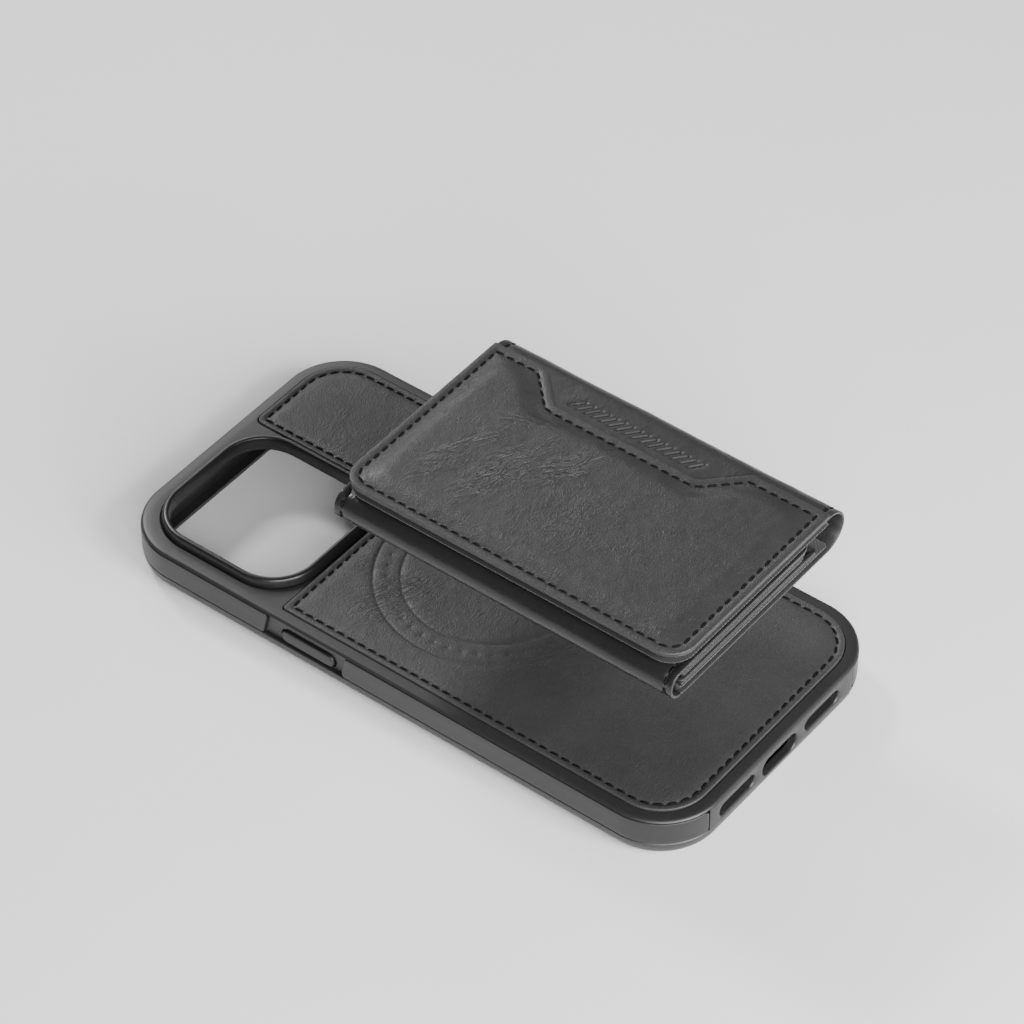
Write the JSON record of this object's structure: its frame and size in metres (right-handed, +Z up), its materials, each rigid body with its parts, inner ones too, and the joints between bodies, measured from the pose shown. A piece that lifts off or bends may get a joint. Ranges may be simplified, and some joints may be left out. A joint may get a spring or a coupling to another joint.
{
  "type": "phone wallet case",
  "caption": "Rugged phone case with a leather back and a raised camera window, and a detachable tri-fold magnetic card wallet.",
  "frame": {"origin": "centre of the case in plan, on the plane that the lip of its open front rests on", "axes": "+X along the case towards the charging port, +Y across it away from the power button, +Z up, the way the leather back faces"},
  "size_m": [0.1646, 0.0824, 0.056],
  "materials": {
    "frame_tpu": "satin moulded TPU",
    "inner_plate": "matte moulded polycarbonate",
    "microfibre": "short brushed nap",
    "case_leather": "fine pebble grain with creases",
    "bezel": "gloss black inside, satin outside",
    "inlay": "smooth matte",
    "button": "smooth satin",
    "wallet_leather": "soft pull-up grain with creases",
    "wallet_lining": "fine twill",
    "board": "grey-brown stiffener board",
    "foam": "thin foam sheet",
    "magnet": "nickel plated"
  },
  "bodies": {
    "case": {"bumper_frame": "frame_tpu", "back_plate": "inner_plate", "case_magnet_ring": "magnet", "case_alignment_magnet": "magnet", "microfibre_lining": "microfibre", "leather_back_panel": "case_leather", "camera_window_bezel": "bezel", "near_inlay_camera_end": "inlay", "near_inlay_port_end": "inlay", "far_inlay_camera_end": "inlay", "far_inlay_port_end": "inlay"},
    "power_button": {"power_button_cover": "button"},
    "volume_down": {"volume_down_cover": "button"},
    "volume_up": {"volume_up_cover": "button"},
    "action_button": {"action_button_cover": "button"},
    "wallet": {"wallet_back_leather": "wallet_leather", "wallet_back_board": "board", "wallet_magnet_ring": "magnet", "wallet_alignment_magnet": "magnet", "wallet_back_lining": "wallet_lining", "wallet_back_pocket": "wallet_leather", "near_fold": "wallet_leather", "spine_fold": "wallet_leather"},
    "inner_flap": {"inner_flap_leather": "wallet_leather", "inner_flap_board": "board", "inner_flap_closure_magnet_1": "magnet", "inner_flap_closure_magnet_2": "magnet", "inner_flap_lining": "wallet_lining", "inner_flap_pocket": "wallet_leather"},
    "outer_flap": {"outer_flap_lining": "wallet_lining", "outer_flap_board": "board", "outer_flap_closure_magnet_1": "magnet", "outer_flap_closure_magnet_2": "magnet", "outer_flap_foam": "foam", "spine_strip": "wallet_leather", "outer_flap_panel": "wallet_leather"}
  },
  "joints": [
    {"name": "wallet_lift", "type": "slide", "parent": "case", "child": "wallet", "axis": [0.3248, 0, 0.9458], "range_m": [-0.03309, 0.03]},
    {"name": "outer_flap_hinge", "type": "hinge", "parent": "wallet", "child": "outer_flap", "pos_m": [0.02675, 0.033, 0.05], "axis": [-1, 0, 0], "range_deg": [0, 176], "deforming": ["spine_fold"]},
    {"name": "inner_flap_hinge", "type": "hinge", "parent": "wallet", "child": "inner_flap", "pos_m": [0.02675, -0.033, 0.0479], "axis": [1, 0, 0], "range_deg": [0, 44], "deforming": ["near_fold"]},
    {"name": "power_button_press", "type": "slide", "parent": "case", "child": "power_button", "axis": [0, 1, 0], "range_m": [0, 0.0006], "stiffness_N_per_m": 800},
    {"name": "volume_down_press", "type": "slide", "parent": "case", "child": "volume_down", "axis": [0, -1, 0], "range_m": [0, 0.0006], "stiffness_N_per_m": 800},
    {"name": "volume_up_press", "type": "slide", "parent": "case", "child": "volume_up", "axis": [0, -1, 0], "range_m": [0, 0.0006], "stiffness_N_per_m": 800},
    {"name": "action_button_press", "type": "slide", "parent": "case", "child": "action_button", "axis": [0, -1, 0], "range_m": [0, 0.0006], "stiffness_N_per_m": 800}
  ],
  "couplings": [
    {"joint": "inner_flap_hinge", "follows": "outer_flap_hinge", "ratio": 0.24}
  ]
}
